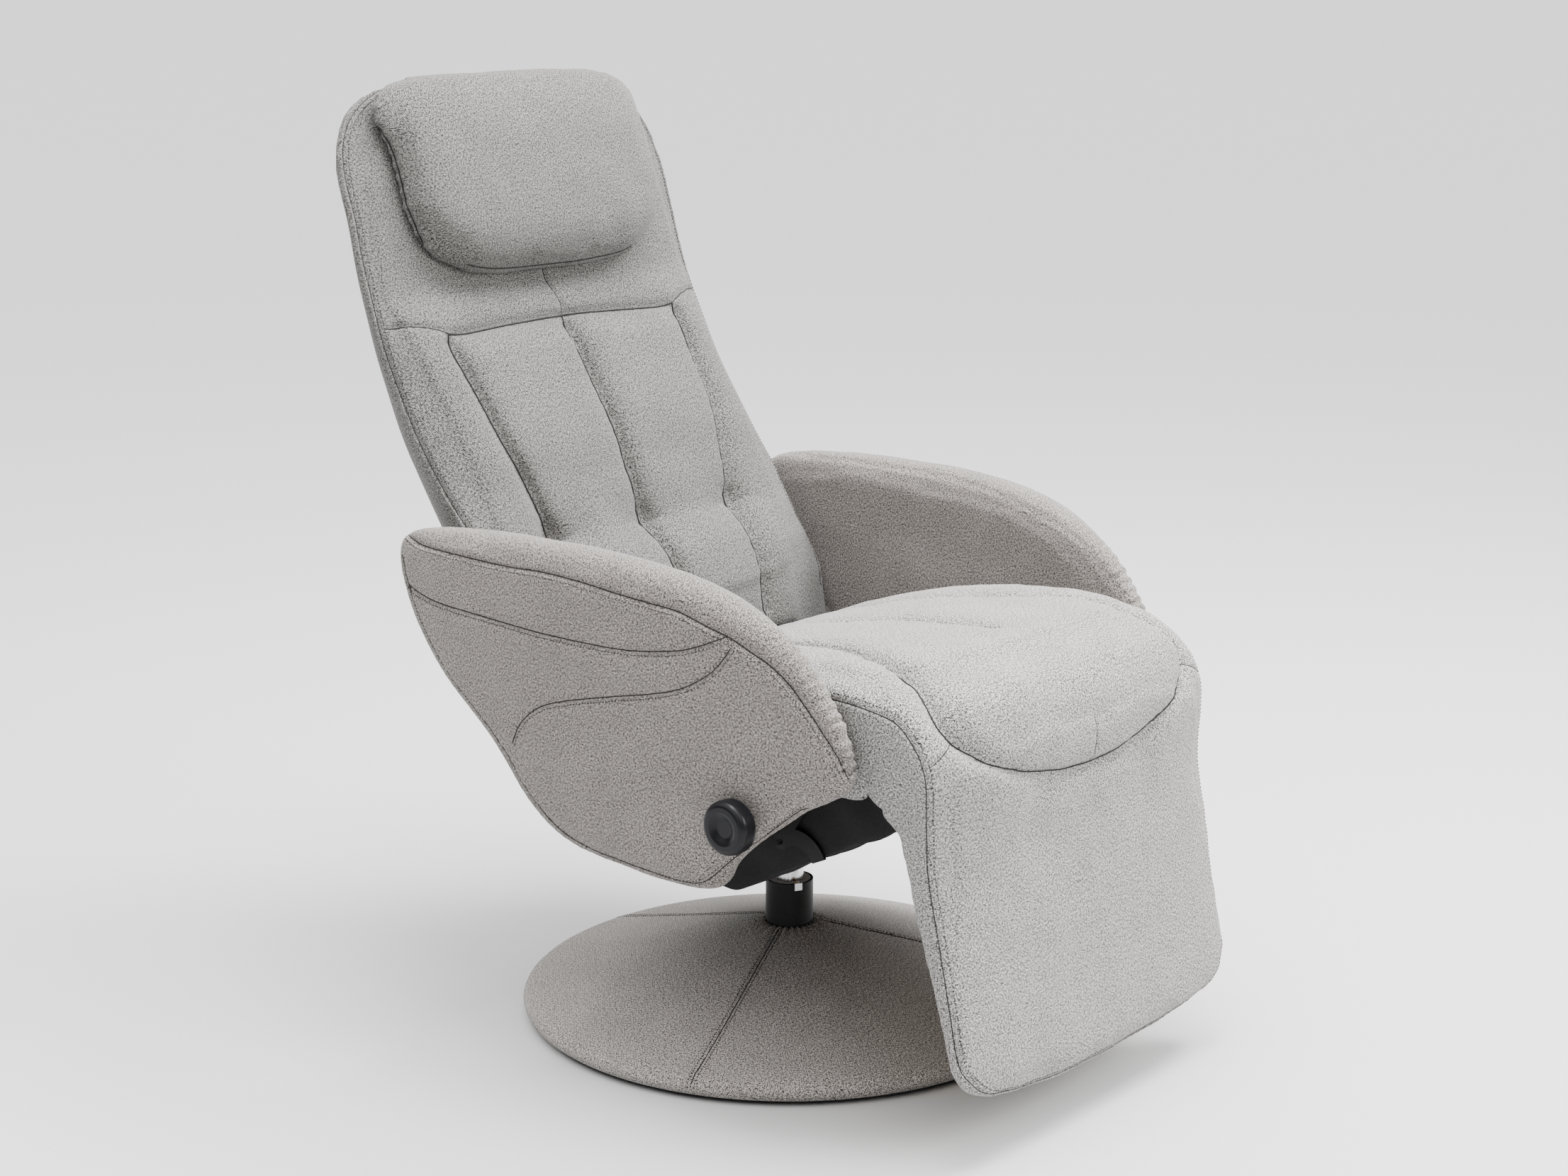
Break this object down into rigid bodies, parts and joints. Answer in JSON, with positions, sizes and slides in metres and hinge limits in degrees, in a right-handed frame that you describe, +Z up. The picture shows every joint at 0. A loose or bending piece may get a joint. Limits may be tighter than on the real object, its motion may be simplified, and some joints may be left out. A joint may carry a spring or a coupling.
{
  "type": "swivel recliner chair",
  "caption": "Padded swivel recliner on a round cloth-covered base, with leaf-shaped arms, a linked footrest and a cushioned headrest.",
  "frame": {"origin": "on the floor under the middle of the column, on the swivel axis", "axes": "+Z up along the swivel axis, the sitter looks towards -Y, +X is the sitter's left hand side"},
  "size_m": [0.6666, 0.9292, 1.035],
  "materials": {
    "grey_cloth": "light grey melange twill upholstery cloth",
    "black_cloth": "thin black lining cloth",
    "black_enamel": "satin black enamel on steel",
    "bright_steel": "bright zinc-plated or turned steel",
    "gloss_black": "moulded black plastic with a soft gloss",
    "moulded_black": "matt black moulded plastic",
    "pale_plastic": "natural bearing plastic",
    "pressed_shell": "grey moulded shell, hidden under the cloth",
    "brass_insert": "turned brass threaded insert",
    "plywood": "plain birch plywood, hidden"
  },
  "bodies": {
    "base": {"glide_ring": "moulded_black", "base_plate": "black_enamel", "base_core": "pressed_shell", "base_cover": "grey_cloth", "column": "black_enamel", "column_bushes": "pale_plastic", "thrust_disc": "pale_plastic", "bush_clip": "bright_steel", "flange_bolts": "bright_steel"},
    "chassis": {"post": "bright_steel", "mounting_plate": "black_enamel", "cross_tubes": "black_enamel", "plate_bolts": "bright_steel", "side_rail_left": "black_enamel", "side_rail_right": "black_enamel", "back_axle": "bright_steel", "foot_axle": "bright_steel", "axle_caps": "moulded_black", "seat_board": "plywood", "seat_cushion": "grey_cloth", "front_roll": "grey_cloth", "underseat_cover": "black_cloth", "arm_board_left": "plywood", "arm_board_right": "plywood", "arm_pad_left": "grey_cloth", "arm_pad_right": "grey_cloth", "arm_spacers": "bright_steel", "arm_bolts": "bright_steel", "clamp_bolts": "bright_steel", "clamp_sleeves": "moulded_black", "lock_plate_left": "black_enamel", "lock_plate_right": "black_enamel"},
    "back": {"back_bracket_left": "black_enamel", "back_bracket_right": "black_enamel", "back_tube_left": "black_enamel", "back_tube_right": "black_enamel", "back_cross_tubes": "black_enamel", "back_springs": "bright_steel", "back_crank_pins": "bright_steel", "back_cushion": "grey_cloth", "back_panel": "grey_cloth", "head_cushion": "grey_cloth"},
    "footrest": {"foot_bracket_left": "black_enamel", "foot_bracket_right": "black_enamel", "foot_board": "plywood", "foot_pad": "grey_cloth", "foot_screws": "bright_steel", "foot_crank_pins": "bright_steel"},
    "rod_left": {"push_rod_left": "black_enamel"},
    "rod_right": {"push_rod_right": "black_enamel"},
    "hand_wheel_left": {"wheel_left": "gloss_black", "wheel_insert_left": "brass_insert"},
    "hand_wheel_right": {"wheel_right": "gloss_black", "wheel_insert_right": "brass_insert"}
  },
  "joints": [
    {"name": "swivel", "type": "hinge", "parent": "base", "child": "chassis", "pos_m": [0, 0, 0.15], "axis": [0, 0, 1], "continuous": true},
    {"name": "recline", "type": "hinge", "parent": "chassis", "child": "back", "pos_m": [0, 0.165, 0.362], "axis": [-1, 0, 0], "range_deg": [0, 35]},
    {"name": "footrest_lift", "type": "hinge", "parent": "chassis", "child": "footrest", "pos_m": [0, -0.33, 0.385], "axis": [-1, 0, 0], "range_deg": [0, 80], "deforming": ["front_roll"]},
    {"name": "rod_left_pivot", "type": "hinge", "parent": "back", "child": "rod_left", "pos_m": [0.1735, 0.18665, 0.29333], "axis": [-1, 0, 0], "range_deg": [-35, 0]},
    {"name": "rod_right_pivot", "type": "hinge", "parent": "back", "child": "rod_right", "pos_m": [-0.1735, 0.18665, 0.29333], "axis": [-1, 0, 0], "range_deg": [-35, 0]},
    {"name": "wheel_left_turn", "type": "hinge", "parent": "chassis", "child": "hand_wheel_left", "pos_m": [0.32, -0.198, 0.33], "axis": [1, 0, 0], "range_deg": [0, 270]},
    {"name": "wheel_right_turn", "type": "hinge", "parent": "chassis", "child": "hand_wheel_right", "pos_m": [-0.32, -0.198, 0.33], "axis": [1, 0, 0], "range_deg": [0, 270]}
  ],
  "couplings": [
    {"joint": "footrest_lift", "follows": "recline", "ratio": 2.2857},
    {"joint": "rod_left_pivot", "follows": "recline", "ratio": -1},
    {"joint": "rod_right_pivot", "follows": "recline", "ratio": -1}
  ]
}
